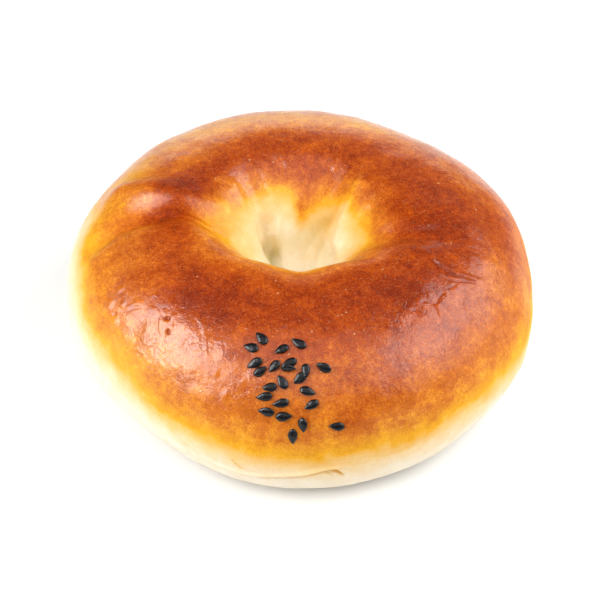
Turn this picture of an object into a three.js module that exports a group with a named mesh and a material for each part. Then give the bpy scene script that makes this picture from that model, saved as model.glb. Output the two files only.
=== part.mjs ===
// A red bean bun: one round enriched-dough bun with a flat baked base, full sides and a deep pressed hollow
// in the middle of its top, whose walls are drawn into soft pleats. Millimetres, +Z up, front towards -Y.
// The origin is on the base, under the middle of the bun's width and depth. The bun is one closed piece, so
// the group holds one mesh.
import * as THREE from "three";

// Driving dimensions, in millimetres.
const WIDTH = 100; // across X at the belly, before the uneven places below
const DEPTH = 99.4; // across Y at the belly
const BELLY_HEIGHT = 15; // height of the widest line of the side
const CREST_HEIGHT = 36.5; // height of the ring's top
const CREST_RADIUS = 23; // distance of the ring's top line from the middle
const BASE_TUCK = 11; // how far the side turns in from the belly to the edge of the base
const SIDE_FULLNESS = 2.1; // 2 is an ellipse, more is fuller
const TUCK_FULLNESS = 2.2;
const HOLLOW_FLOOR = 11; // height of the hollow's bottom
const HOLLOW_X = -0.5; // the hollow's bottom lies off centre by this much
const HOLLOW_Y = -4.8;
const HOLLOW_POWER = 2.4; // higher makes the hollow's throat narrower and its lip rounder

// Mesh fineness: columns round the bun, and rows along each stretch of its section.
const COLUMNS = 96;
const BASE_ROWS = 4;
const TUCK_ROWS = 7;
const SIDE_ROWS = 15;
const HOLLOW_ROWS = 17;

// Uneven places round the bun: azimuth and reach in degrees, and how much each adds to what it changes.
const BELLY_SWELLS = [
  { at: 224, reach: 28, add: -3.4 },
  { at: 154, reach: 16, add: -0.8 },
  { at: 58, reach: 22, add: -1.2 },
  { at: 342, reach: 12, add: 1.2 },
  { at: 17, reach: 15, add: 0.8 },
];
const CREST_SWELLS = [
  { at: 205, reach: 25, add: 0.6 },
  { at: 60, reach: 25, add: -0.5 },
];
const CREST_LINE_SWELLS = [
  { at: 0, reach: 40, add: 5 },
  { at: 180, reach: 40, add: 6 },
];
const HOLLOW_POWER_SWELLS = [
  { at: 270, reach: 45, add: 1.2 },
  { at: 90, reach: 60, add: -0.8 },
];

// Pleats in the hollow's wall: azimuth and reach in degrees, and depth. A negative depth raises a ridge.
const PLEATS = [
  { at: 20, reach: 12, depth: 0.8 },
  { at: 42, reach: 8, depth: -0.9 },
  { at: 60, reach: 10, depth: 1.1 },
  { at: 98, reach: 13, depth: -1 },
  { at: 127, reach: 9, depth: 2.2 },
  { at: 160, reach: 12, depth: -0.6 },
  { at: 232, reach: 12, depth: -0.6 },
  { at: 275, reach: 18, depth: 1.6 },
  { at: 330, reach: 12, depth: 1 },
];

// Soft grooves pressed into the ring's top: the middle of each seen from above, the way it runs in degrees,
// how far it reaches along and across, and its depth.
const GROOVES = [
  { x: -19, y: 0.8, runs: 174, along: 12, across: 3.4, depth: 3.4 },
  { x: 20.5, y: -3, runs: -14, along: 11, across: 3.2, depth: 2.7 },
];

const ORIGIN = new THREE.Vector2(0, 0);
const radians = THREE.MathUtils.degToRad;

// The turn from one azimuth to another the short way round, in degrees.
const turnBetween = (from, to) => ((((to - from) % 360) + 540) % 360) - 180;

// A smooth bell of height 1, which has fallen to about a third at its reach.
const bell = (distance, reach) => Math.exp(-((distance / reach) ** 2));

const sumOf = (places, azimuth, key) =>
  places.reduce((sum, place) => sum + place[key] * bell(turnBetween(place.at, azimuth), place.reach), 0);

// The belly's distance from the middle at an azimuth.
const bellyRadius = (azimuth) => {
  const a = radians(azimuth);
  const ellipse = 1 / Math.hypot((2 * Math.cos(a)) / WIDTH, (2 * Math.sin(a)) / DEPTH);
  return ellipse + sumOf(BELLY_SWELLS, azimuth, "add");
};

const crestHeight = (azimuth) => CREST_HEIGHT + sumOf(CREST_SWELLS, azimuth, "add");
const crestRadius = (azimuth) => CREST_RADIUS + sumOf(CREST_LINE_SWELLS, azimuth, "add");

// A point of a quarter superellipse: share 0 is on its first half axis, share 1 on its second.
const quarter = (share, first, second, fullness) => {
  const t = (share * Math.PI) / 2;
  return [first * Math.cos(t) ** (2 / fullness), second * Math.sin(t) ** (2 / fullness)];
};

// The four stretches of the section at an azimuth, each as a share from 0 to 1 giving a radius and a height.
const base = (azimuth, share) => [(bellyRadius(azimuth) - BASE_TUCK) * share, 0];

const tuck = (azimuth, share) => {
  const inner = bellyRadius(azimuth) - BASE_TUCK;
  const [up, out] = quarter(share, BELLY_HEIGHT, BASE_TUCK, TUCK_FULLNESS);
  return [inner + out, BELLY_HEIGHT - up];
};

const side = (azimuth, share) => {
  const inner = crestRadius(azimuth);
  const rise = crestHeight(azimuth) - BELLY_HEIGHT;
  const [out, up] = quarter(share, bellyRadius(azimuth) - inner, rise, SIDE_FULLNESS);
  return [inner + out, BELLY_HEIGHT + up];
};

const hollow = (azimuth, share) => {
  const power = HOLLOW_POWER + sumOf(HOLLOW_POWER_SWELLS, azimuth, "add");
  const depth = crestHeight(azimuth) - HOLLOW_FLOOR;
  const pleated = Math.sin(Math.PI * share) ** 2 * sumOf(PLEATS, azimuth, "depth");
  return [crestRadius(azimuth) * (1 - share), HOLLOW_FLOOR + depth * (1 - share ** power) - pleated];
};

// How deep the grooves cut at a point seen from above.
const grooveDepth = (x, y) =>
  GROOVES.reduce((sum, groove) => {
    const offset = new THREE.Vector2(x - groove.x, y - groove.y).rotateAround(ORIGIN, -radians(groove.runs));
    return sum + groove.depth * bell(Math.hypot(offset.x / groove.along, offset.y / groove.across), 1);
  }, 0);

// One ring of points at a share of a stretch. The hollow leans towards its off-centre bottom.
const ringOf = (stretch, share) =>
  Array.from({ length: COLUMNS }, (_, column) => {
    const azimuth = (360 * column) / COLUMNS;
    const [radius, height] = stretch(azimuth, share);
    const lean = stretch === hollow ? share ** 2 : 0;
    const x = radius * Math.cos(radians(azimuth)) + HOLLOW_X * lean;
    const y = radius * Math.sin(radians(azimuth)) + HOLLOW_Y * lean;
    const cut = stretch === side || stretch === hollow ? grooveDepth(x, y) : 0;
    return new THREE.Vector3(x, y, height - cut);
  });

const rowsOf = (stretch, rows, first) =>
  Array.from({ length: rows - first }, (_, row) => ringOf(stretch, (row + first) / rows));

const bunGeometry = () => {
  const rings = [
    ...rowsOf(base, BASE_ROWS, 1),
    ...rowsOf(tuck, TUCK_ROWS, 0),
    ...rowsOf(side, SIDE_ROWS, 0),
    ...rowsOf(hollow, HOLLOW_ROWS, 0),
  ];
  const points = rings.flat();
  const baseMiddle = points.push(new THREE.Vector3(0, 0, 0)) - 1;
  const hollowBottom = points.push(new THREE.Vector3(HOLLOW_X, HOLLOW_Y, HOLLOW_FLOOR)) - 1;
  const last = rings.length - 1;
  const faces = [];
  for (let column = 0; column < COLUMNS; column++) {
    const next = (column + 1) % COLUMNS;
    faces.push(baseMiddle, next, column);
    for (let ring = 0; ring < last; ring++) {
      const [here, above] = [ring * COLUMNS, (ring + 1) * COLUMNS];
      faces.push(here + column, here + next, above + next);
      faces.push(here + column, above + next, above + column);
    }
    faces.push(last * COLUMNS + column, last * COLUMNS + next, hollowBottom);
  }
  const geometry = new THREE.BufferGeometry().setFromPoints(points);
  geometry.setIndex(faces);
  geometry.computeBoundingBox();
  const middle = geometry.boundingBox.getCenter(new THREE.Vector3());
  geometry.translate(-middle.x, -middle.y, 0);
  geometry.computeVertexNormals();
  return geometry;
};

const crust = new THREE.MeshStandardMaterial({ color: 0xc8641f, roughness: 0.35, metalness: 0 });

const bun = new THREE.Mesh(bunGeometry(), crust);
bun.name = "bun";

const redBeanBun = new THREE.Group();
redBeanBun.add(bun);

export default redBeanBun;
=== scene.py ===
"""A red bean bun: a glossy, egg-washed round bun with a deep hollow in its top and black sesame seeds.

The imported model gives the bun's size and main form. Three operators dress it: the crust, the sesame seeds
and the stage. Lengths are metres, as everywhere in Blender; settings are shown in its units.
"""

import math

import bpy
import numpy as np
from mathutils import Matrix, Vector, noise
from mathutils.bvhtree import BVHTree


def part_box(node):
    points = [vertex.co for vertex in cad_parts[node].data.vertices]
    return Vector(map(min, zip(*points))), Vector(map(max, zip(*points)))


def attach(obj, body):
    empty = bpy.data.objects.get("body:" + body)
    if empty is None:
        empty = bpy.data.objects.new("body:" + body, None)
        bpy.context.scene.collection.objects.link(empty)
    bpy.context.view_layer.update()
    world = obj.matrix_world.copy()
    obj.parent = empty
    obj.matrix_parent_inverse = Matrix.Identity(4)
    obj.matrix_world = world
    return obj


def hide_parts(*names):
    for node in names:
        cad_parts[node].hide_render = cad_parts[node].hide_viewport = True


bl_info = {
    "name": "Red bean bun",
    "version": (1, 0, 0),
    "blender": (4, 5, 0),
    "location": "View3D > Sidebar > Bun",
    "description": "Makes a glossy red bean bun with sesame seeds round the packed model",
    "category": "Object",
}

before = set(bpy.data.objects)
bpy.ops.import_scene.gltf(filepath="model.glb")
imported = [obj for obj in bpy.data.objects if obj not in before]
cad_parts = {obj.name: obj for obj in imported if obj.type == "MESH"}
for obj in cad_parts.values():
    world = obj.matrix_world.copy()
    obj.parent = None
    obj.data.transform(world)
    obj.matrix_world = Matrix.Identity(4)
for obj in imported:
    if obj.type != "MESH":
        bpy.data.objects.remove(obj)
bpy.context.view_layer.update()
MM = 0.001

# The ring of dough is described from its core: a circle inside it, round the bun's middle. A place on the
# crust is an azimuth round the bun (0 towards +X, 270 towards the front) and a rise, the angle up from the
# core: 0 is the outer side, 90 the ring's top, above that the hollow, and below 0 the foot.
LOWEST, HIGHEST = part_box("bun")
BUN_WIDTH = HIGHEST.x - LOWEST.x
BUN_HEIGHT = HIGHEST.z - LOWEST.z
CORE_RADIUS = 0.28 * BUN_WIDTH
CORE_HEIGHT = 0.43 * BUN_HEIGHT
RISE_SEAM = -160  # the rise, below the base, where the angles start again

# How brown the oven has left the crust on its way up the side and down into the hollow, as (rise,
# browning). The base, below -55, is baked too.
BROWNING = (
    (-150, 0.5), (-72, 0.46), (-58, 0.3), (-50, 0.06), (-40, 0), (-15, 0.045), (-3, 0.195), (8, 0.4),
    (18, 0.54), (33, 0.64), (60, 0.74), (78, 0.84), (92, 0.9), (104, 0.86), (112, 0.76), (122, 0.58),
    (132, 0.38), (142, 0.19), (155, 0.04), (175, 0), (200, 0),
)
PALE_FOOT = -40  # the rise above which no shift brings the base's browning
# How far the browning is shifted to greater rises, in degrees, all round and in places, as (azimuth, reach,
# degrees). On the side the pale foot then reaches higher, and in the hollow the lip's brown goes deeper.
# At azimuth 90 the shift is partly painted light: the back is made paler where the low back light falls.
SIDE_SHIFT = (-4, [(210, 26, 9), (177, 24, 33), (90, 60, 17)])
HOLLOW_SHIFT = (0, [
    (50, 25, 4), (88, 15, 5), (130, 25, -2), (0, 25, 3), (330, 30, 4), (280, 40, 2), (188, 24, 2),
    (208, 10, 5),
])
# Darker and lighter patches: azimuth, rise, heading, length and width in mm, and the browning added. Most
# are the crust's own stains; the rows marked below are painted light and shade.
STAINS_AND_PAINTED_LIGHT = (
    (85, 142, 0, 7, 5, 0.18), (86, 149, 90, 4, 3, 0.18), (76, 133, 0, 12, 5, 0.08),
    (120, 105, 10, 16, 6, 0.04), (92, 121, 0, 16, 7, 0.12), (182, 152, 0, 8, 6, 0.14),
    # Painted highlight: (44, 119) is a pale streak on a blister at the hollow's rim, where a glint of light
    # falls.
    (230, 121, 0, 12, 5, -0.1), (158, 66, 70, 14, 8, -0.14), (44, 119, 119, 9, 2, -0.08),
    (150, 52, 10, 22, 9, -0.12), (35, 138, 122, 12, 3.5, -0.14), (106, 140, 58, 12, 4, -0.08),
    # Painted shadow: (178, 83) darkens the valley under the highlight on the left groove.
    (158, 97, 80, 10, 7, 0.1), (178, 83, 88, 18, 4, 0.16), (135, 90, 0, 24, 8, -0.09),
    (208, 93, 0, 12, 7, -0.06), (325, 78, 0, 22, 9, 0.08), (312, 52, 0, 18, 9, 0.07),
    # Painted highlight: (171, 78) lightens the crust under the highlight on the left groove. Painted shade:
    # (142, 154) and (56, 157) darken the hollow's valleys to olive.
    (171, 78, 80, 14, 6, -0.16), (142, 154, 50, 10, 5, 0.08), (56, 157, 90, 10, 6, 0.1),
    (24, 142, 120, 12, 6, 0.05), (118, 146, 50, 7, 4, 0.05), (178, 112, 60, 7, 4, -0.14),
    (341, 40, 60, 13, 8, -0.1), (42, 104, 0, 14, 8, -0.1), (135, 122, 0, 12, 6, 0.07),
    (0, 40, 0, 26, 6, 0.1), (155, 118, 0, 14, 9, -0.16), (110, 122, 0, 16, 6, -0.06),
    (140, 103, 20, 10, 5, 0.04), (231, 80, 10, 18, 9, 0.14), (300, 88, 0, 26, 9, 0.06),
    # Partly painted light: (90, 76), (140, 80) and (45, 78) make the back's crust paler where the low back
    # light falls.
    (0, 72, 0, 26, 12, 0.1), (90, 76, 0, 60, 15, -0.26), (140, 80, 0, 26, 10, -0.16),
    (45, 78, 0, 26, 10, -0.08), (228, 42, 20, 24, 14, -0.14), (296, 46, 80, 10, 8, 0.05),
    (285, 24, 10, 9, 6, 0.07), (192, 112, 0, 15, 10, -0.2), (212, 106, 0, 10, 8, -0.1),
    (332, 112, 0, 14, 8, -0.1), (178, 68, 60, 14, 10, -0.06), (163, 84, 70, 16, 9, 0.07),
    (159, 100, 80, 9, 7, 0.06), (168, 60, 80, 8, 7, 0.05), (184, 82, 0, 9, 8, -0.1),
    (201, 78, 0, 14, 10, -0.1), (199, 55, 60, 6, 5, -0.07), (193, 101, 0, 9, 6, 0.08),
    # Painted sheen: (168, 48) on the left rim and (22, 64) on the right back, where light glances off the
    # wash.
    (168, 48, 0, 22, 8, -0.03), (348, 22, 80, 12, 6, -0.07), (22, 64, 0, 14, 7, -0.08),
    # Painted light: (135, 62) lightens the back-left rim, which the lamps leave dim.
    (5, 50, 0, 8, 6, 0.08), (135, 62, 0, 20, 8, -0.08),
)

# Folds of the thin skin: how far each is raised, how deep the crease on its right is, and its width, in mm,
# then its places from end to end as (azimuth, rise).
FOLDS = (
    (0.45, 0.50, 0.60,
     ((341, 95), (338, 89), (335.4, 81), (334.5, 74), (334.7, 66), (336.6, 57), (339, 49))),
    (0.16, 0.30, 0.40, ((331, 76), (332, 68), (334.5, 62), (336, 59))),
    (0.14, 0.12, 0.90, ((357, 108), (357.5, 101), (356.5, 94), (357.5, 86))),
    (0.08, 0.0, 1.60, ((364, 108), (366, 96), (366, 84), (368, 66))),
    (0.05, 0.35, 0.40, ((315, 74), (318.6, 71.5), (319.5, 66.5), (318.2, 61), (317.6, 58))),
    (0.05, 0.30, 0.40, ((326, 66), (323, 66.4), (320, 65), (318, 67.5))),
    (0.04, 0.25, 0.35, ((311, 73.5), (313.5, 70.5), (314, 67.5))),
    (0.04, 0.25, 0.35, ((327, 69.5), (329, 67), (331.5, 66))),
    (0.04, 0.22, 0.35, ((303, 73), (305.5, 70), (305, 66.5))),
    (0.08, 0.18, 0.50, ((221, 64), (224, 62.5), (226.5, 64.5), (228.5, 61), (229.5, 56))),
    (0.10, 0.28, 0.40, ((222.5, 61), (223.6, 57), (225.4, 53), (227.5, 51))),
    (0.08, 0.12, 0.50, ((232, 73), (236.5, 69), (239.5, 63), (241.5, 57), (243.5, 50))),
    (0.12, 0.20, 0.45, ((209.5, 46), (212, 50), (213.5, 55), (217, 60))),
    (0.12, 0.16, 0.45, ((219, 33), (223, 35), (226, 32.5), (230, 34))),
    (0.16, 0.18, 0.55, ((174.5, 76), (174.5, 83), (174, 90), (173.5, 95))),
    (0.12, 0.25, 0.50, ((234, -1), (239, -5), (243.5, -11), (246.5, -14.5))),
    (0.10, 0.16, 0.45, ((238, 1), (242, -2), (244, -6))),
    (0.14, 0.45, 0.50, ((254.3, -4.5), (255.6, -8), (257.6, -12))),
    (0.10, 0.45, 0.45, ((276, -8), (277.5, -10), (278.5, -13.5))),
    (0.20, 0.95, 0.70, ((277.6, -6), (279.6, -9), (281.5, -14.5))),
)
# The lip where the side has folded over the foot in front.
FOOT_FOLD = (
    0.5, 1.35, 0.6,
    ((244, -16.5), (251, -17.1), (257, -15.9), (263, -13.8), (268, -11.6), (272, -9.4), (275, -7),
     (279, -6.2), (283, -8)),
)
# Soft pleats of the dough, in the hollow and beside the groove on the left, given as the folds are. A
# negative height is a valley.
PLEATS = (
    (-1.3, 0, 1.7, ((129, 140), (134, 145), (142, 152), (149.7, 160), (157, 168), (215, 168), (252, 146))),
    (-1.2, 0, 0.8, ((144, 155), (149, 161), (153, 167.5), (180, 172), (215, 170))),
    (0.5, 0.1, 2.0, ((97, 130), (102, 141), (111, 149.5), (129, 159), (143, 167), (170, 174), (220, 170))),
    (0.8, 0.35, 1.3,
     ((50, 106), (46, 116), (42, 126), (37.5, 132), (32.5, 141), (21, 151.5), (3, 160), (330, 166))),
    (0.3, 0.0, 0.7, ((104, 104), (103, 112), (100, 120))),
    (0.25, 0.0, 0.6, ((68, 106), (66.5, 112), (66, 119))),
    (0.3, 0.0, 0.9, ((120, 110), (119, 122), (120, 134))),
    (0.25, 0.0, 1.2, ((137, 112), (139, 122), (144, 134))),
    (-2.0, 0, 3.1, ((185, 36), (183, 50), (181, 64), (179, 80), (178.5, 104))),
    (-0.5, 0, 2.6, ((186, 38), (184, 50), (181, 62), (178, 76))),
    (1.7, 0, 3.5, ((168, 44), (166.5, 56), (165.5, 68), (165.5, 82), (166, 96), (168, 108))),
)
# Swells of the dough: azimuth, rise, heading, length, width and height, in mm.
SWELLS = (
    (172, 106, 90, 16, 12, 2.2), (172, 98, 90, 10, 8, 0.8),
)
# Where the valleys of the hollow are darkened to an olive colour, as painted shade where little light
# reaches: azimuth, rise, heading, length and width in mm, and how much.
VALLEY_SHADE = (
    (149, 160, 50, 6, 2, 0.3), (153, 167.5, 50, 6, 1.5, 1.2), (54, 146, 60, 8, 4, 0.5),
    (82, 158, 20, 12, 7, 0.5), (143, 157, 50, 11, 4, 0.45), (20, 158, 20, 7, 3, 0.4),
)
# Blisters and pits: azimuth, rise, heading, length, width and height, in mm. A negative height is a pit.
BLISTERS = (
    (205.7, 53.6, 70, 3.2, 1.3, 0.16), (206.2, 41.8, 75, 3.8, 2.8, 0.24), (198.3, 49.4, 60, 1.6, 1.2, 0.14),
    (199.5, 41, 60, 1.3, 1.0, 0.12), (216, 66.5, 80, 1.6, 1.2, 0.14), (247, 45.5, 80, 2.6, 1.7, 0.16),
    (251, 35, 70, 2.8, 1.9, 0.18), (255, 45, 60, 1.3, 1.0, 0.12), (211, 37, 60, 3.4, 2.6, 0.20),
    (209.8, 49.5, 80, 2.2, 1.4, 0.14), (213.5, 57, 40, 3.4, 2.2, 0.16), (219, 60, 10, 3.0, 2.0, 0.14),
    (227.8, 55.6, 100, 1.5, 1.1, -0.6), (225, 61.8, 60, 1.8, 1.2, -0.4), (226.2, 63.3, 0, 0.8, 0.8, 0.25),
    (209.5, 41.5, 60, 1.6, 0.7, -0.25), (204.6, 87.5, 0, 0.7, 0.7, -0.3), (359, 101.5, 0, 0.8, 0.8, -0.35),
    (44, 117.5, 119, 4.5, 1.4, 0.25), (25.5, 123, 75, 2.4, 0.8, 0.22), (21.5, 116, 0, 1.0, 0.9, 0.22),
    (3, 115, 40, 1.1, 0.9, 0.22), (355.1, 118, 0, 1.0, 0.8, 0.18), (50, 110, 0, 0.9, 0.9, 0.2),
    (145, 80, 50, 1.4, 1.0, 0.2), (184, 51, 60, 1.6, 1.1, 0.25), (176, 56, 60, 1.2, 0.9, 0.2),
    (189, 64, 20, 1.3, 0.8, 0.18), (251, 77, 80, 0.9, 0.7, 0.15), (255, 76, 70, 0.9, 0.6, 0.15),
    (265, 82, 80, 1.0, 0.6, 0.15), (206.5, 74, 30, 0.9, 0.6, 0.15), (274, 85, 80, 0.8, 0.6, 0.15),
    (303, 83, 60, 0.9, 0.7, 0.15),
)
# Where less egg wash has stayed on the sides and round the lip: azimuth, rise, heading, length and width in
# mm, and how much is missing.
THIN_WASH = (
    (8, 110, 20, 16, 7, 0.8), (184, 84, 88, 34, 8, 0.85), (205, 104, 20, 26, 10, 0.7),
    (338, 106, 95, 24, 9, 0.6), (247, 45, 20, 12, 8, 0.4), (358, 108, 90, 16, 7, 0.6),
    (300, 112, 0, 36, 7, 0.6), (159, 82, 88, 20, 9, 1.6), (48, 76, 0, 20, 7, 0.5),
    (179, 82, 88, 26, 4.4, 1.0), (177, 60, 85, 8, 8, 0.9), (207, 65, 60, 8, 5, 0.7),
    (214, 63, 25, 14, 5, 0.7), (21, 143, 120, 24, 12, 1.0), (60, 146, 90, 20, 6, 0.9),
)
# Where the skin has dried crumpled: azimuth, rise, heading, length and width in mm, then the strength.
CRUMPLED = (
    (231, 48, 25, 32, 19, 1.0), (316, 69, -24, 28, 6, 1.2), (346, 66, 80, 20, 12, 1.0),
    (171, 84, 70, 14, 7, 1.0), (332, 40, 60, 24, 7, 0.8), (258, 44, 60, 16, 9, 0.5),
    (60, 112, 0, 26, 8, 0.6), (240, -9, -20, 22, 6, 0.5), (20, 70, 10, 26, 12, 0.3),
    (198, 44, 70, 20, 8, 0.6), (130, 60, 20, 30, 14, 0.5), (60, 40, -30, 26, 12, 0.5),
    (318, 50, 0, 34, 14, 0.35), (125, 116, 0, 16, 12, 0.6), (50, 118, 80, 12, 5, 0.8),
)
# The seeds: azimuth, rise, heading of the tip, and roll about its length.
SEEDS = (
    (257.7, 71.4, 139, 4), (255, 65, 175, 0), (270, 70, 148, -5), (264.7, 66, 212, 6),
    (257.3, 56, 217, -12), (259.3, 52, 44, 14), (263, 55.7, 234, 5), (267.3, 58.2, 205, -8),
    (267, 54.8, 0, 52), (272, 53.6, 270, 10), (270.3, 49.5, 223, -6), (277, 55, 147, -28),
    (265.6, 47.3, 124, 12), (262.3, 44, 192, 4), (261.2, 38.5, 194, -5), (272.3, 42.5, 338, -10),
    (273.2, 35, 207, 8), (265.5, 35.7, 193, 3), (262, 30.5, 177, -4), (266.4, 28.6, 8, -9),
    (271, 24.5, 278, 22), (268.6, 17.3, 271, 0), (279, 22.3, 169, 6),
)


# --------------------------------------------------------------------------------------------- settings


class BunCrustSettings(bpy.types.PropertyGroup):
    """Form and finish of the crust."""

    relief: bpy.props.FloatProperty(
        name="Relief", description="Strength of the wrinkles, blisters and pleats", default=1.0, min=0,
        max=2,
    )
    unevenness: bpy.props.FloatProperty(
        name="Unevenness", description="Height of the dough's own gentle swells", default=0.22 * MM,
        unit="LENGTH",
    )
    cream: bpy.props.FloatVectorProperty(
        name="Cream", description="Colour of unbrowned dough", subtype="COLOR", size=3,
        default=(0.81, 0.74, 0.61),
    )
    straw: bpy.props.FloatVectorProperty(
        name="Straw", description="First colour of the crust", subtype="COLOR", size=3,
        default=(0.79, 0.55, 0.25),
    )
    gold: bpy.props.FloatVectorProperty(
        name="Gold", description="Light golden crust", subtype="COLOR", size=3, default=(0.76, 0.36, 0.016)
    )
    amber: bpy.props.FloatVectorProperty(
        name="Amber", description="Deeper golden crust", subtype="COLOR", size=3,
        default=(0.55, 0.150, 0.009),
    )
    brown: bpy.props.FloatVectorProperty(
        name="Brown", description="Well browned crust", subtype="COLOR", size=3,
        default=(0.38, 0.060, 0.002),
    )
    dark: bpy.props.FloatVectorProperty(
        name="Dark", description="Dark crust", subtype="COLOR", size=3, default=(0.28, 0.032, 0.001)
    )
    darkest: bpy.props.FloatVectorProperty(
        name="Darkest", description="Darkest specks of crust", subtype="COLOR", size=3,
        default=(0.20, 0.018, 0.001),
    )
    hollow_tint: bpy.props.FloatVectorProperty(
        name="Hollow tint", description="Tints the dough in the hollow", subtype="COLOR", size=3,
        default=(1.0, 0.97, 0.86),
    )
    # Painted shade: the olive colour laid into the hollow's deepest valleys.
    valley_shade_tint: bpy.props.FloatVectorProperty(
        name="Valley shade tint", description="Painted shade of the hollow's deepest valleys", subtype="COLOR", size=3,
        default=(0.64, 0.57, 0.29),
    )


class SesameSeedSettings(bpy.types.PropertyGroup):
    """Size and finish of the black sesame seeds."""

    length: bpy.props.FloatProperty(
        name="Length", description="Of one seed", default=3.2 * MM, unit="LENGTH"
    )
    width: bpy.props.FloatProperty(
        name="Width", description="Of one seed", default=1.9 * MM, unit="LENGTH"
    )
    thickness: bpy.props.FloatProperty(
        name="Thickness", description="Of one seed", default=0.95 * MM, unit="LENGTH"
    )
    sunk: bpy.props.FloatProperty(
        name="Sunk", description="How deep a seed sits in the egg wash", default=0.25 * MM, unit="LENGTH"
    )
    black: bpy.props.FloatVectorProperty(
        name="Black", description="Colour of the seed coat", subtype="COLOR", size=3,
        default=(0.005, 0.005, 0.006),
    )


class BunStageSettings(bpy.types.PropertyGroup):
    """Camera, floor and lights."""

    camera_distance: bpy.props.FloatProperty(
        name="Camera distance", description="From the aim to the camera", default=0.45, unit="LENGTH"
    )
    camera_rise: bpy.props.FloatProperty(
        name="Camera rise", description="Angle above the horizon", default=math.radians(45), unit="ROTATION"
    )
    lens: bpy.props.FloatProperty(
        name="Lens", description="Focal length in millimetres on a 36 mm sensor", default=126.0,
        unit="CAMERA",
    )
    aim: bpy.props.FloatVectorProperty(
        name="Aim", description="Point the camera looks at", size=3, subtype="TRANSLATION", unit="LENGTH",
        default=(0.25 * MM, -3.0 * MM, 15.0 * MM),
    )
    left_strength: bpy.props.FloatProperty(
        name="Left light", description="Radiance of the left soft box; its lamp and gleam add to it",
        default=2.8,
    )
    right_strength: bpy.props.FloatProperty(
        name="Right light", description="Radiance of the right soft box; its lamp adds to it", default=2.1
    )
    back_strength: bpy.props.FloatProperty(
        name="Back light", description="Radiance of the low panel behind", default=1.5
    )
    fill_strength: bpy.props.FloatProperty(
        name="Fill light", description="Radiance of the high panel in front", default=1.1
    )
    room_strength: bpy.props.FloatProperty(
        name="Room", description="Radiance of the room all round", default=0.17
    )


# ------------------------------------------------------------------------------------ places on the bun

SEED_STEPS = (7.31, 3.17, 5.73)  # how far the seed of a noise moves it along each axis
OCTAVE_FALLOFF = 0.6  # how fast the finer octaves of noise fade
OCTAVE_STEP = 2.0  # how much finer each octave is
CREASE_SHARPNESS = 2.2  # the greater, the thinner the random creases
# A fold across its line, in widths: how far it is followed, and its crease's reach, edge and gain in depth.
FOLD_REACH = 3.5
CREASE_REACH = 1.2
CREASE_EDGE = (0.1, 1.1)
CREASE_GAIN = 1.6
FOLD_TAPER = 0.3  # the share of a fold's length over which each of its ends fades


def turn_between(start, end):
    """Turn from one azimuth to another the short way round, in degrees."""
    return (end - start + 180) % 360 - 180


def bell(distance, reach):
    """A smooth bell of height 1 that has fallen to about a third at its reach."""
    return np.exp(-((distance / reach) ** 2))


def smooth_step(low, high, value):
    """0 up to low, 1 from high on, and smooth between. With low above high it falls instead."""
    share = np.clip((value - low) / (high - low), 0, 1)
    return share * share * (3 - 2 * share)


def round_the_bun(course, azimuth):
    """The value at each azimuth of what is given all round and in places, such as SIDE_SHIFT."""
    value, places = course
    return value + sum(add * bell(turn_between(at, azimuth), reach) for at, reach, add in places)


def azimuth_of(points):
    return np.degrees(np.arctan2(points[:, 1], points[:, 0])) % 360


def rise_of(points):
    out = np.hypot(points[:, 0], points[:, 1]) - CORE_RADIUS
    rise = np.degrees(np.arctan2(points[:, 2] - CORE_HEIGHT, out))
    return (rise - RISE_SEAM) % 360 + RISE_SEAM


def core_point(azimuth):
    turn = math.radians(azimuth)
    return Vector((CORE_RADIUS * math.cos(turn), CORE_RADIUS * math.sin(turn), CORE_HEIGHT))


def direction(azimuth, rise):
    turn, up = math.radians(azimuth), math.radians(rise)
    return Vector((math.cos(turn) * math.cos(up), math.sin(turn) * math.cos(up), math.sin(up)))


def crust_point(tree, azimuth, rise):
    """The point of the crust at an azimuth and a rise, and the crust's normal there."""
    point, normal, _, _ = tree.ray_cast(core_point(azimuth), direction(azimuth, rise))
    if point is None:
        raise RuntimeError(f"no crust at azimuth {azimuth}, rise {rise}")
    return point, normal


def heading_at(azimuth, normal, heading):
    """The way along the crust with this heading: 0 is round the bun, to greater azimuths, and 90 is up."""
    turn = math.radians(azimuth)
    along = Vector((-math.sin(turn), math.cos(turn), 0))
    along = (along - along.dot(normal) * normal).normalized()
    turn = math.radians(heading)
    return math.cos(turn) * along + math.sin(turn) * normal.cross(along)


def coordinates(mesh, kind="vertices", name="co"):
    values = np.empty(3 * len(getattr(mesh, kind)), np.float32)
    getattr(mesh, kind).foreach_get(name, values)
    return values.reshape(-1, 3).astype(float)


def move_vertices(mesh, points):
    mesh.vertices.foreach_set("co", points.astype(np.float32).ravel())
    mesh.update()


def noise_at(points, size, seed, octaves=3):
    """Smooth noise from about -1 to 1, with features of the given size."""
    shift = Vector([seed * step for step in SEED_STEPS])
    return np.array([
        noise.fractal(Vector(p / size) + shift, OCTAVE_FALLOFF, OCTAVE_STEP, octaves) for p in points
    ])


def creases_at(points, size, seed):
    """Thin meandering creases: 1 along them and 0 between."""
    return (1 - np.minimum(1, CREASE_SHARPNESS * np.abs(noise_at(points, size, seed, octaves=2)))) ** 3


def smooth_path(places, steps=14):
    """Places along a smooth curve through the given ones."""
    knots = np.array([places[0], *places, places[-1]], float)
    share = np.arange(steps)[:, None] / steps
    stretches = [
        b + 0.5 * share * (c - a + share * (2 * a - 5 * b + 4 * c - d + share * (3 * b - a - 3 * c + d)))
        for a, b, c, d in zip(knots, knots[1:], knots[2:], knots[3:])
    ]
    return np.vstack([*stretches, knots[-1:]])


def evened(ways, reach=7):
    """Directions along a path, each evened with its neighbours."""
    padded = np.pad(ways, ((reach, reach), (0, 0)), mode="edge")
    sums = sum(padded[start:start + len(ways)] for start in range(2 * reach + 1))
    return sums / np.linalg.norm(sums, axis=1)[:, None]


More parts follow.
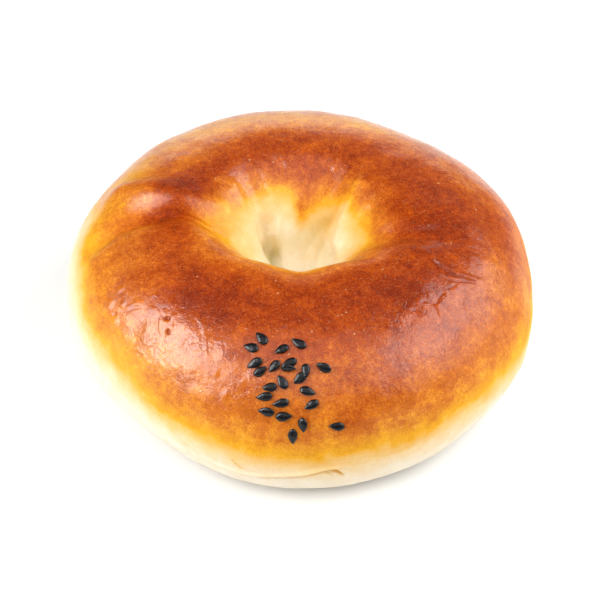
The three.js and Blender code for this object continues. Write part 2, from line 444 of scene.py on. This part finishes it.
def folds_at(points, normals, tree, folds):
    """How far the folds raise the skin at each point: a rounded line, with a crease on its right."""
    raised = np.zeros(len(points))
    for height, crease, width, places in folds:
        found = [crust_point(tree, *place) for place in smooth_path(places)]
        path = np.array([point for point, _ in found])
        facing = evened(np.array([normal for _, normal in found]))
        reach = FOLD_REACH * width * MM
        near = np.all((points > path.min(0) - reach) & (points < path.max(0) + reach), axis=1).nonzero()[0]
        away = points[near, None] - path[None]
        closest = np.argmin((away**2).sum(2), axis=1)
        away = away[np.arange(len(near)), closest]
        ways = evened(np.gradient(path, axis=0))
        step = np.linalg.norm(np.diff(path, axis=0), axis=1).mean()
        past = np.clip((away * ways[closest]).sum(1) / step, -0.5, 0.5)
        away -= past[:, None] * step * ways[closest]
        right = np.cross(ways, facing)
        right /= np.linalg.norm(right, axis=1)[:, None]
        aside = (away * right[closest]).sum(1) / (width * MM)
        flat = away - (away * facing[closest]).sum(1)[:, None] * facing[closest]
        off = np.linalg.norm(flat, axis=1) / (width * MM)
        share = np.clip((closest + past) / (len(path) - 1), 0, 1)
        taper = smooth_step(0, FOLD_TAPER, share) * smooth_step(0, FOLD_TAPER, 1 - share)
        same_wall = np.clip((normals[near] * facing[closest]).sum(1), 0, 1)
        on_right = bell(off, CREASE_REACH) * smooth_step(*CREASE_EDGE, aside) * CREASE_GAIN
        raised[near] += taper * same_wall * (height * bell(off, 1) - crease * on_right)
    return raised * MM


def ovals_at(points, tree, rows, firm=False):
    """The sum of ovals on the crust, each (azimuth, rise, heading, length, width, amount). A firm oval is a
    dome with an edge, and another fades away."""
    total = np.zeros(len(points))
    for azimuth, rise, heading, length, width, amount in rows:
        middle, normal = crust_point(tree, azimuth, rise)
        way = heading_at(azimuth, normal, heading)
        away = points - np.array(middle)
        u = away @ np.array(way) / (0.5 * length * MM)
        v = away @ np.array(normal.cross(way)) / (0.5 * width * MM)
        depth = away @ np.array(normal) / (0.5 * (length + width) * MM)
        square = u * u + v * v + depth * depth
        total += amount * (np.clip(1 - square, 0, 1) ** 1.5 if firm else np.exp(-square))
    return total


# ---------------------------------------------------------------------------------------------- Blender


def only_select(piece):
    bpy.ops.object.select_all(action="DESELECT")
    piece.select_set(True)
    bpy.context.view_layer.objects.active = piece


def apply_modifiers(piece):
    only_select(piece)
    for modifier in list(piece.modifiers):
        bpy.ops.object.modifier_apply(modifier=modifier.name)


def save_attribute(mesh, name, values):
    attribute = mesh.attributes.new(name, "FLOAT", "POINT")
    attribute.data.foreach_set("value", values.astype(np.float32))


def new_material(name):
    """A material with an empty node tree but for its Principled shader and output."""
    material = bpy.data.materials.new(name)
    material.use_nodes = True
    tree = material.node_tree
    tree.nodes.clear()
    output = tree.nodes.new("ShaderNodeOutputMaterial")
    shader = tree.nodes.new("ShaderNodeBsdfPrincipled")
    tree.links.new(shader.outputs["BSDF"], output.inputs["Surface"])
    return material, tree, shader


def node_with(tree, kind, links=(), **settings):
    """Adds a node, sets its properties, or else the inputs of that name, and links its inputs."""
    node = tree.nodes.new(kind)
    for key, value in settings.items():
        if hasattr(node, key):
            setattr(node, key, value)
        else:
            node.inputs[key.replace("_", " ")].default_value = value
    for key, socket in dict(links).items():
        tree.links.new(socket, node.inputs[key])
    return node


def noise_node(tree, vector, scale, detail, roughness):
    links = {"Vector": vector}
    node = node_with(tree, "ShaderNodeTexNoise", links, Scale=scale, Detail=detail, Roughness=roughness)
    return node.outputs["Fac"]


def math_node(tree, operation, *values):
    """A sum on sockets, which are linked, and numbers."""
    node = node_with(tree, "ShaderNodeMath", operation=operation)
    for socket, value in zip(node.inputs, values):
        if isinstance(value, bpy.types.NodeSocket):
            tree.links.new(value, socket)
        else:
            socket.default_value = value
    return node.outputs[0]


def add_up(tree, base, *parts):
    """base plus weight times (value less middle) for each (value, weight, middle)."""
    total = base
    for value, weight, middle in parts:
        more = math_node(tree, "MULTIPLY_ADD", value, weight, total)
        total = math_node(tree, "SUBTRACT", more, weight * middle)
    return total


def colour_ramp(tree, value, stops):
    node = node_with(tree, "ShaderNodeValToRGB", {"Fac": value})
    elements = node.color_ramp.elements
    while len(elements) < len(stops):
        elements.new(0.5)
    for element, (position, colour) in zip(elements, stops):
        element.position = position
        element.color = (*colour, 1)
    return node.outputs["Color"]


def mapped(tree, value, values, results):
    """A value mapped smoothly from one range to another."""
    links = {"Value": value}
    node = node_with(tree, "ShaderNodeMapRange", links, clamp=True, interpolation_type="SMOOTHSTEP")
    for key, number in zip(("From Min", "From Max", "To Min", "To Max"), (*values, *results)):
        node.inputs[key].default_value = number
    return node.outputs["Result"]


# ------------------------------------------------------------------------------------------------ crust

# Parts of the crust, as a range of azimuths and a range of rises: the hollow, whose walls are evened, the
# front and its foot, where the skin's folds are small, and the foot fold, where they are smallest.
HOLLOW = ((0, 360), (122, 360))
FINE_FRONT = ((203, 349), (-19, 84))
FINE_FOOT = ((234, 288), (-25, -10))
FINEST_FOOT = ((236, 286), (-22, -3))

# The random relief.
CREASE_DEPTH = 0.04 * MM
CREASE_SPACING = 2.1 * MM
CRUMPLE_HEIGHT = 0.065 * MM
CRUMPLES = ((2.3, 5 * MM, 14), (0.4, 2.4 * MM, 11))  # layers of noise: weight, size and seed
SWELL_SIZE = 11 * MM
RIPPLE_SIZE = 2.4 * MM
RIPPLE_SHARE = 0.12  # of the swells' height
FLAT_EDGE = 2 * MM  # the height over which the relief fades towards the flat base

# The rises between which a shift, a loss, the egg wash or the hollow's own tint sets in.
SIDE_BEGINS = (88, 58)
HOLLOW_BEGINS = (95, 110)
SHIFT_BEGINS = (-50, -30)
DULL_SIDE_BEGINS = (66, 50)
DULL_LIP_BEGINS = (98, 108)
WASH_BEGINS = (1, 42)
WASH_THINS = (128, 150)
TINT_BEGINS = (105, 140)

# How many degrees the edges of the browning and of the wash wander up and down, and how wide each turn is.
BROWNING_WANDER = 3.5
BROWNING_TURNS = 9 * MM
WASH_WANDER = 5
WASH_TURNS = 8 * MM

# Where the wash is dull, all round and in places, as (azimuth, reach, amount), and the gloss that is lost.
DULL_SIDES = (0, [(6, 17, 1), (188, 20, 1)])
DULL_LIP = (0, [(270, 62, 1)])
SIDE_LOSS = 0.65
LIP_LOSS = 0.8
HOLLOW_LOSS = 0.5

# How far the brush strokes of the wash run: round the bun and up it.
GRAIN_ROUND = 7 * MM
GRAIN_UP = 20 * MM

# Patterns of the skin, as a noise's scale, detail and roughness.
CLOUD = (230, 4, 0.65)
MOTTLE = (900, 3, 0.6)
STREAK = (900, 3, 0.6)
GRIT = (2600, 2, 0.6)
BUBBLY = (260, 2, 0.6)
FRECKLE = (2900, 2, 0.5)
PEEL = (700, 2, 0.5)
WORN = (2400, 2, 0.6)
BUBBLE_SCALE = 560.0
CRACK_SCALE = 540.0
CRACK_WANDER = 1.2 * MM
SKIN_RELIEF = 0.11 * MM


def copy_of_node(name, new_name):
    """A piece with its own merged mesh, in quads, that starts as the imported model's node."""
    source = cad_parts[name]
    piece = source.copy()
    piece.data = source.data.copy()
    piece.name = piece.data.name = new_name
    bpy.context.scene.collection.objects.link(piece)
    piece.parent = None
    piece.animation_data_clear()
    for key in [key for key in piece.keys() if key.startswith("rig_")]:
        del piece[key]
    piece.data.materials.clear()
    only_select(piece)
    bpy.ops.object.mode_set(mode="EDIT")
    bpy.ops.mesh.select_all(action="SELECT")
    bpy.ops.mesh.remove_doubles(threshold=0.01 * MM)
    any_angle = math.radians(180)
    bpy.ops.mesh.tris_convert_to_quads(face_threshold=any_angle, shape_threshold=any_angle)
    bpy.ops.mesh.normals_make_consistent(inside=False)
    bpy.ops.object.mode_set(mode="OBJECT")
    return piece


def select_faces(piece, chosen):
    """Goes into edit mode with only the chosen faces selected."""
    only_select(piece)
    bpy.ops.object.mode_set(mode="EDIT")
    bpy.ops.mesh.select_mode(type="FACE")
    bpy.ops.mesh.select_all(action="DESELECT")
    bpy.ops.object.mode_set(mode="OBJECT")
    piece.data.polygons.foreach_set("select", chosen)
    bpy.ops.object.mode_set(mode="EDIT")


def subdivide_once(piece):
    modifier = piece.modifiers.new("Smooth", "SUBSURF")
    modifier.levels = modifier.render_levels = 1
    apply_modifiers(piece)


def faces_within(piece, azimuths, rises):
    """Which faces have their middle between two azimuths and between two rises."""
    middles = coordinates(piece.data, "polygons", "center")
    azimuth, rise = azimuth_of(middles), rise_of(middles)
    return (azimuth > azimuths[0]) & (azimuth < azimuths[1]) & (rise > rises[0]) & (rise < rises[1])


def cut_faces(piece, chosen):
    """Cuts the chosen faces in four, rounded as the crust is."""
    select_faces(piece, chosen)
    bpy.ops.mesh.subdivide(number_cuts=1, smoothness=1.0)
    bpy.ops.object.mode_set(mode="OBJECT")


def refine_crust(crust):
    """Divides the crust into fine faces, and finer ones in front and by the foot."""
    subdivide_once(crust)
    select_faces(crust, faces_within(crust, *HOLLOW))
    bpy.ops.mesh.vertices_smooth(factor=0.5, repeat=16)
    bpy.ops.object.mode_set(mode="OBJECT")
    cut_faces(crust, faces_within(crust, *FINE_FRONT) | faces_within(crust, *FINE_FOOT))
    cut_faces(crust, faces_within(crust, *FINEST_FOOT))
    subdivide_once(crust)


def sculpt_crust(crust, settings):
    """Moves the skin in and out: the dough's swells, the pleats, folds, blisters and crumpled places. Gives
    the shape from before, on which the places are found."""
    points = coordinates(crust.data)
    normals = coordinates(crust.data, "vertices", "normal")
    tree = BVHTree.FromObject(crust, bpy.context.evaluated_depsgraph_get())
    raised = folds_at(points, normals, tree, (*FOLDS, FOOT_FOLD))
    raised += ovals_at(points, tree, BLISTERS, firm=True) * MM
    crumpled = np.clip(ovals_at(points, tree, CRUMPLED), 0, 1)
    raised -= CREASE_DEPTH * crumpled * creases_at(points, CREASE_SPACING, seed=13)
    # The dents' depth is kept so that shade can be painted into the creases and pits.
    save_attribute(crust.data, "dented", np.clip(-raised / MM, 0, 1))
    save_attribute(crust.data, "crumpled", crumpled)
    raised += folds_at(points, normals, tree, PLEATS) + ovals_at(points, tree, SWELLS) * MM
    soft = sum(weight * noise_at(points, size, seed, octaves=2) for weight, size, seed in CRUMPLES)
    raised += CRUMPLE_HEIGHT * crumpled * soft
    raised += settings.unevenness * noise_at(points, SWELL_SIZE, seed=21, octaves=2)
    raised += RIPPLE_SHARE * settings.unevenness * noise_at(points, RIPPLE_SIZE, seed=22, octaves=2)
    off_base = smooth_step(0, FLAT_EDGE, points[:, 2] - LOWEST.z)
    move_vertices(crust.data, points + normals * (settings.relief * off_base * raised)[:, None])
    return tree


def browning_of(points, tree):
    """How brown each point is, from 0, unbrowned dough, to 1, darkest, with painted light and shade in
    places.
    """
    azimuth, rise = azimuth_of(points), rise_of(points)
    on_side = smooth_step(*SIDE_BEGINS, rise)
    in_hollow = smooth_step(*HOLLOW_BEGINS, rise)
    shift = on_side * round_the_bun(SIDE_SHIFT, azimuth) + in_hollow * round_the_bun(HOLLOW_SHIFT, azimuth)
    shift *= smooth_step(*SHIFT_BEGINS, rise)
    shift += BROWNING_WANDER * noise_at(points, BROWNING_TURNS, seed=31)
    shifted = np.maximum(rise - shift, np.minimum(rise, PALE_FOOT))
    return np.interp(shifted, *zip(*BROWNING)) + ovals_at(points, tree, STAINS_AND_PAINTED_LIGHT)


def gloss_of(points, tree):
    """Where the egg wash is: all over the top, thin in the hollow, and none on the foot and the base."""
    azimuth = azimuth_of(points)
    rise = rise_of(points) + WASH_WANDER * noise_at(points, WASH_TURNS, seed=41)
    sides = round_the_bun(DULL_SIDES, azimuth) * smooth_step(*DULL_SIDE_BEGINS, rise)
    near_lip = round_the_bun(DULL_LIP, azimuth) * smooth_step(*DULL_LIP_BEGINS, rise)
    thin = np.clip(ovals_at(points, tree, THIN_WASH), 0, 1)
    wash = smooth_step(*WASH_BEGINS, rise) * (1 - HOLLOW_LOSS * smooth_step(*WASH_THINS, rise))
    return wash * (1 - SIDE_LOSS * sides) * (1 - LIP_LOSS * near_lip) * (1 - thin)


def save_grain(mesh, points):
    """Saves a place for each point, in metres, that changes slowly round the bun, as brush strokes do."""
    turn, up = np.radians(azimuth_of(points)), np.radians(rise_of(points))
    grain = np.stack([GRAIN_ROUND * np.cos(turn), GRAIN_ROUND * np.sin(turn), GRAIN_UP * up], axis=1)
    attribute = mesh.attributes.new("grain", "FLOAT_VECTOR", "POINT")
    attribute.data.foreach_set("vector", grain.astype(np.float32).ravel())


def crust_material(settings):
    material, tree, shader = new_material("egg_washed_crust")
    place = node_with(tree, "ShaderNodeTexCoord").outputs["Object"]
    grain = node_with(tree, "ShaderNodeAttribute", attribute_name="grain").outputs["Vector"]
    browning, gloss, hollow, dented, crumpled = (
        node_with(tree, "ShaderNodeAttribute", attribute_name=name).outputs["Fac"]
        for name in ("browning", "gloss", "hollow", "dented", "crumpled")
    )
    cloud = noise_node(tree, place, *CLOUD)
    mottle = noise_node(tree, place, *MOTTLE)
    streak = noise_node(tree, grain, *STREAK)
    grit = noise_node(tree, place, *GRIT)

    # The browning in clouds and brush streaks, with painted shade in the dents, and specked where the crust
    # is brown.
    level = add_up(tree, browning, (cloud, 0.13, 0.5), (streak, 0.08, 0.5), (dented, 0.45, 0))
    fine = add_up(tree, mottle, (mottle, 0.5, 0.5), (grit, 1.8, 0.5), (cloud, 1.8, 0.5))
    spotty = mapped(tree, browning, (0.3, 0.75), (0.03, 0.17))
    speckle = math_node(tree, "MULTIPLY", math_node(tree, "SUBTRACT", fine, 0.5), spotty)
    ramp = colour_ramp(tree, math_node(tree, "ADD", level, speckle), [
        (0.0, settings.cream), (0.22, settings.straw), (0.40, settings.gold), (0.58, settings.amber),
        (0.76, settings.brown), (0.90, settings.dark), (1.0, settings.darkest),
    ])

    # The tint of the dough in the hollow, which is 1 in the attribute, and the painted shade in its
    # valleys, which is 2.
    tint = colour_ramp(tree, math_node(tree, "MULTIPLY", hollow, 0.5), [
        (0, (1, 1, 1)), (0.5, settings.hollow_tint), (1, settings.valley_shade_tint),
    ])
    eggy = node_with(tree, "ShaderNodeMix", {6: ramp, 7: tint}, data_type="RGBA", blend_type="MULTIPLY")
    eggy.inputs[0].default_value = 1
    shade = math_node(tree, "MULTIPLY_ADD", speckle, -1.5, 1.0)
    toned = node_with(tree, "ShaderNodeVectorMath", {0: eggy.outputs[2], 3: shade}, operation="SCALE")

    # Small pale bubbles and freckles.
    cells = node_with(tree, "ShaderNodeTexVoronoi", {"Vector": place}, Scale=BUBBLE_SCALE)
    bubble = mapped(tree, cells.outputs["Distance"], (0.16, 0.04), (0.0, 1.0))
    bubbly = mapped(tree, noise_node(tree, place, *BUBBLY), (0.5, 0.7), (0.0, 0.5))
    pale = math_node(tree, "MULTIPLY", bubble, bubbly)
    freckle = mapped(tree, noise_node(tree, place, *FRECKLE), (0.55, 0.75), (0.0, 0.12))
    paleness = math_node(tree, "MAXIMUM", pale, freckle)
    spotted = node_with(tree, "ShaderNodeMix", {0: paleness, 6: toned.outputs[0]}, data_type="RGBA")
    spotted.inputs[7].default_value = (*settings.straw, 1)
    tree.links.new(spotted.outputs[2], shader.inputs["Base Color"])

    # The finest relief: a grainy skin, its bubbles, and a broken net of cracks where it is crumpled.
    peel = noise_node(tree, place, *PEEL)
    wander = node_with(tree, "ShaderNodeTexNoise", {"Vector": place}, Scale=900.0, Detail=2.0)
    links = {0: wander.outputs["Color"], 2: place}
    shifted = node_with(tree, "ShaderNodeVectorMath", links, operation="MULTIPLY_ADD")
    shifted.inputs[1].default_value = (CRACK_WANDER, CRACK_WANDER, CRACK_WANDER)
    links = {"Vector": shifted.outputs[0]}
    net = node_with(tree, "ShaderNodeTexVoronoi", links, feature="DISTANCE_TO_EDGE", Scale=CRACK_SCALE)
    crack = mapped(tree, net.outputs["Distance"], (0.13, 0.0), (0.0, 1.0))
    broken = mapped(tree, cloud, (0.42, 0.6), (0.0, -0.4))
    cracks = math_node(tree, "MULTIPLY", crack, math_node(tree, "MULTIPLY", broken, crumpled))
    height = add_up(tree, peel, (grit, 0.5, 0.5), (peel, -0.4, 0.5), (pale, 1.0, 0), (cracks, 1.0, 0))
    bump = node_with(tree, "ShaderNodeBump", {"Height": height}, Strength=1.0, Distance=SKIN_RELIEF)
    tree.links.new(bump.outputs["Normal"], shader.inputs["Normal"])
    tree.links.new(bump.outputs["Normal"], shader.inputs["Coat Normal"])

    # The egg wash is the coat, and is slightly worn all over.
    worn = mapped(tree, noise_node(tree, place, *WORN), (0.3, 0.7), (0.6, 1.0))
    tree.links.new(math_node(tree, "MULTIPLY", gloss, worn), shader.inputs["Coat Weight"])
    shader.inputs["Coat Roughness"].default_value = 0.09
    shader.inputs["Roughness"].default_value = 0.55
    shader.inputs["Specular IOR Level"].default_value = 0.05
    shader.inputs["Subsurface Weight"].default_value = 0.12
    shader.inputs["Subsurface Radius"].default_value = (1.0, 0.45, 0.2)
    shader.inputs["Subsurface Scale"].default_value = 1.5 * MM
    return material


class OBJECT_OT_bun_crust(bpy.types.Operator):
    """Make the bun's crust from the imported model, with its wrinkles, blisters and browning"""

    bl_idname = "object.bun_crust"
    bl_label = "Crust"

    def execute(self, context):
        settings = context.scene.bun_crust
        crust = copy_of_node("bun", "crust")
        refine_crust(crust)
        tree = sculpt_crust(crust, settings)
        points = coordinates(crust.data)
        save_attribute(crust.data, "browning", browning_of(points, tree))
        save_attribute(crust.data, "gloss", gloss_of(points, tree))
        # The hollow's own tint, with the painted shade of its valleys added on top.
        valley_shade = np.clip(ovals_at(points, tree, VALLEY_SHADE), 0, 1)
        save_attribute(crust.data, "hollow", smooth_step(*TINT_BEGINS, rise_of(points)) + valley_shade)
        save_grain(crust.data, points)
        only_select(crust)
        bpy.ops.object.shade_smooth()
        crust.data.materials.append(crust_material(settings))
        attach(crust, "root")
        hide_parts("bun")
        return {"FINISHED"}


# ------------------------------------------------------------------------------------------------ seeds

# Half the width and half the thickness of a seed, as shares, from its tip (0) to its round end (1).
SEED_OUTLINE = (
    (0.0, 0.0, 0.0), (0.04, 0.16, 0.22), (0.1, 0.33, 0.42), (0.2, 0.56, 0.66), (0.35, 0.82, 0.88),
    (0.5, 0.97, 0.98), (0.62, 1.0, 1.0), (0.75, 0.93, 0.94), (0.87, 0.72, 0.76), (0.95, 0.46, 0.5),
    (1.0, 0.0, 0.0),
)
SEED_RIM = 1.05  # above 1, the edge is drawn out into a faint rim
SEED_DISH = 0.07  # how much thinner a seed is in the middle of its flat faces
SMALLEST_SEED = (0.93, 0.92, 0.85)  # as shares of the length, width and thickness
LARGEST_SEED = (1.08, 1.07, 1.15)
SEED_TIP = 5  # degrees by which a seed may be tipped up or down
LUMP_HEIGHT = 0.05 * MM
LUMP_SIZE = 1.1 * MM
FIRST_LUMPS = 50  # the first seed's own noise; the others follow
SEED_SKIN = (1500, 3, 0.6)  # a noise's scale, detail and roughness
SEED_PORES = (1800, 3, 0.6)


def model_seed(settings):
    """One sesame seed, lying flat along X, its tip towards +X: a drop with a faint rim round flat faces."""
    length = settings.length
    bpy.ops.object.select_all(action="DESELECT")
    bpy.ops.mesh.primitive_uv_sphere_add(
        segments=24, ring_count=16, radius=length / 2, rotation=(0, math.pi / 2, 0)
    )
    seed = bpy.context.object
    seed.name = seed.data.name = "sesame_seed"
    bpy.ops.object.transform_apply(rotation=True)
    points = coordinates(seed.data)
    share = 0.5 - points[:, 0] / length
    circle = 2 * np.sqrt(np.maximum(share * (1 - share), 1e-6))
    outline = np.array(SEED_OUTLINE)
    across = points[:, 1] / (0.5 * length * circle)
    upward = points[:, 2] / (0.5 * length * circle)
    upward = np.sign(upward) * np.abs(upward) ** SEED_RIM
    dished = 1 - SEED_DISH * bell(across, 0.42) * bell(share - 0.45, 0.3)
    half_width = 0.5 * settings.width * np.interp(share, outline[:, 0], outline[:, 1])
    half_thickness = 0.5 * settings.thickness * np.interp(share, outline[:, 0], outline[:, 2])
    points[:, 1] = half_width * across
    points[:, 2] = half_thickness * upward * dished
    move_vertices(seed.data, points)
    subdivide_once(seed)
    return seed


def seed_material(settings):
    material, tree, shader = new_material("black_sesame")
    place = node_with(tree, "ShaderNodeTexCoord").outputs["Object"]
    coat = colour_ramp(tree, noise_node(tree, place, *SEED_SKIN), [
        (0.35, [0.5 * part for part in settings.black]), (0.7, [2.0 * part for part in settings.black]),
    ])
    tree.links.new(coat, shader.inputs["Base Color"])
    pores = noise_node(tree, place, *SEED_PORES)
    bump = node_with(tree, "ShaderNodeBump", {"Height": pores}, Strength=0.9, Distance=0.1 * MM)
    tree.links.new(bump.outputs["Normal"], shader.inputs["Normal"])
    shader.inputs["Roughness"].default_value = 0.16
    shader.inputs["Specular IOR Level"].default_value = 0.3
    return material


class OBJECT_OT_sesame_seeds(bpy.types.Operator):
    """Model one black sesame seed and scatter copies of it on the front of the crust"""

    bl_idname = "object.sesame_seeds"
    bl_label = "Sesame seeds"

    def execute(self, context):
        settings = context.scene.sesame_seeds
        tree = BVHTree.FromObject(bpy.data.objects["crust"], context.evaluated_depsgraph_get())
        chance = np.random.default_rng(7)
        first = model_seed(settings)
        first.data.materials.append(seed_material(settings))
        seeds = []
        for azimuth, rise, heading, roll in SEEDS:
            seed = first.copy()
            seed.data = first.data.copy()
            context.scene.collection.objects.link(seed)
            points = coordinates(seed.data)
            normals = coordinates(seed.data, "vertices", "normal")
            points *= chance.uniform(SMALLEST_SEED, LARGEST_SEED)
            lumps = noise_at(points, LUMP_SIZE, FIRST_LUMPS + len(seeds), octaves=2)
            move_vertices(seed.data, points + normals * (LUMP_HEIGHT * lumps)[:, None])
            point, normal = crust_point(tree, azimuth, rise)
            way = heading_at(azimuth, normal, heading)
            tip = math.radians(chance.uniform(-SEED_TIP, SEED_TIP))
            roll = math.radians(roll)
            facing = Matrix.Rotation(tip, 3, normal.cross(way)) @ normal
            facing = Matrix.Rotation(roll, 3, way) @ facing
            side = facing.cross(way).normalized()
            way = side.cross(facing)
            lift = 0.5 * (settings.thickness + abs(math.sin(roll)) * settings.width) - settings.sunk
            turned = Matrix((way, side, facing)).transposed().to_4x4()
            seed.data.transform(Matrix.Translation(point + lift * normal) @ turned)
            seeds.append(seed)
        bpy.data.objects.remove(first)
        only_select(seeds[0])
        for seed in seeds:
            seed.select_set(True)
        bpy.ops.object.join()
        piece = context.object
        piece.name = piece.data.name = "sesame_seeds"
        bpy.ops.object.shade_smooth()
        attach(piece, "root")
        return {"FINISHED"}


# ------------------------------------------------------------------------------------------------ stage

FLOOR_SIZE = 3.0
FLOOR_GAP = 0.05 * MM  # below the base, so that the two don't fight
FLOOR_WHITE = (0.86, 0.86, 0.86, 1)
SENSOR_WIDTH = 36
NEAREST_SEEN = 0.01
# The lights: name, azimuth, rise, distance, width and height, the setting with its radiance, and its share.
LIGHTS = (
    ("left_soft_box", 201, 33, 0.5, (0.40, 0.54), "left_strength", 1),
    ("left_lamp", 201, 33, 0.49, (0.33, 0.44), "left_strength", 1),
    ("left_gleam", 202, 34, 0.48, (0.34, 0.47), "left_strength", 2.1),
    ("right_soft_box", 358, 34, 0.5, (0.76, 0.58), "right_strength", 1),
    ("right_lamp", 2, 45, 0.49, (0.50, 0.34), "right_strength", 1.15),
    ("back_panel", 90, 8, 0.8, (0.6, 0.34), "back_strength", 1),
    ("front_fill", 270, 68, 0.7, (1.0, 0.8), "fill_strength", 1),
)
GLOSS_ONLY = ("left_gleam",)  # lights that show in the egg wash and don't brighten the dough


def soft_box(name, azimuth, rise, distance, size, radiance):
    """A round soft light that faces the bun and looks equally bright from everywhere in front of it."""
    way = direction(azimuth, rise)
    middle = Vector((0, 0, BUN_HEIGHT / 2))
    bpy.ops.object.light_add(type="AREA", location=middle + distance * way)
    box = bpy.context.object
    box.name = box.data.name = name
    box.rotation_euler = way.to_track_quat("Z", "Y").to_euler()
    box.data.shape = "ELLIPSE"
    box.data.size, box.data.size_y = size
    box.data.energy = radiance * math.pi * (math.pi / 4 * size[0] * size[1])
    box.visible_diffuse = name not in GLOSS_ONLY


class OBJECT_OT_bun_stage(bpy.types.Operator):
    """Set up the floor, the soft lights and the camera"""

    bl_idname = "object.bun_stage"
    bl_label = "Stage"

    def execute(self, context):
        settings = context.scene.bun_stage
        bpy.ops.object.select_all(action="DESELECT")
        bpy.ops.mesh.primitive_plane_add(size=FLOOR_SIZE, location=(0, 0, LOWEST.z - FLOOR_GAP))
        floor = context.object
        floor.name = floor.data.name = "floor"
        material, _, shader = new_material("white_floor")
        shader.inputs["Base Color"].default_value = FLOOR_WHITE
        shader.inputs["Roughness"].default_value = 0.9
        floor.data.materials.append(material)
        for name, azimuth, rise, distance, size, strength, share in LIGHTS:
            soft_box(name, azimuth, rise, distance, size, share * getattr(settings, strength))
        world = bpy.data.worlds.new("room")
        world.use_nodes = True
        background = world.node_tree.nodes["Background"]
        background.inputs["Color"].default_value = (1, 1, 1, 1)
        background.inputs["Strength"].default_value = settings.room_strength
        context.scene.world = world
        context.scene.view_settings.view_transform = "Standard"
        aim = Vector(settings.aim)
        way = Vector((0, -math.cos(settings.camera_rise), math.sin(settings.camera_rise)))
        bpy.ops.object.camera_add(location=aim + settings.camera_distance * way)
        camera = context.object
        camera.name = camera.data.name = "camera"
        camera.rotation_euler = way.to_track_quat("Z", "Y").to_euler()
        camera.data.sensor_width = SENSOR_WIDTH
        camera.data.lens = settings.lens
        camera.data.clip_start = NEAREST_SEEN
        context.scene.camera = camera
        return {"FINISHED"}


class VIEW3D_PT_bun(bpy.types.Panel):
    """Lists the bun's pieces and its stage"""

    bl_label = "Red bean bun"
    bl_idname = "VIEW3D_PT_bun"
    bl_space_type = "VIEW_3D"
    bl_region_type = "UI"
    bl_category = "Bun"

    def draw(self, context):
        for operator in (OBJECT_OT_bun_crust, OBJECT_OT_sesame_seeds, OBJECT_OT_bun_stage):
            self.layout.operator(operator.bl_idname)


CLASSES = (
    BunCrustSettings,
    SesameSeedSettings,
    BunStageSettings,
    OBJECT_OT_bun_crust,
    OBJECT_OT_sesame_seeds,
    OBJECT_OT_bun_stage,
    VIEW3D_PT_bun,
)


def register():
    for item in CLASSES:
        bpy.utils.register_class(item)
    bpy.types.Scene.bun_crust = bpy.props.PointerProperty(type=BunCrustSettings)
    bpy.types.Scene.sesame_seeds = bpy.props.PointerProperty(type=SesameSeedSettings)
    bpy.types.Scene.bun_stage = bpy.props.PointerProperty(type=BunStageSettings)


def unregister():
    del bpy.types.Scene.bun_stage
    del bpy.types.Scene.sesame_seeds
    del bpy.types.Scene.bun_crust
    for item in reversed(CLASSES):
        bpy.utils.unregister_class(item)


def main():
    register()
    bpy.ops.object.bun_crust()
    bpy.ops.object.sesame_seeds()
    bpy.ops.object.bun_stage()


if __name__ == "__main__":
    main()
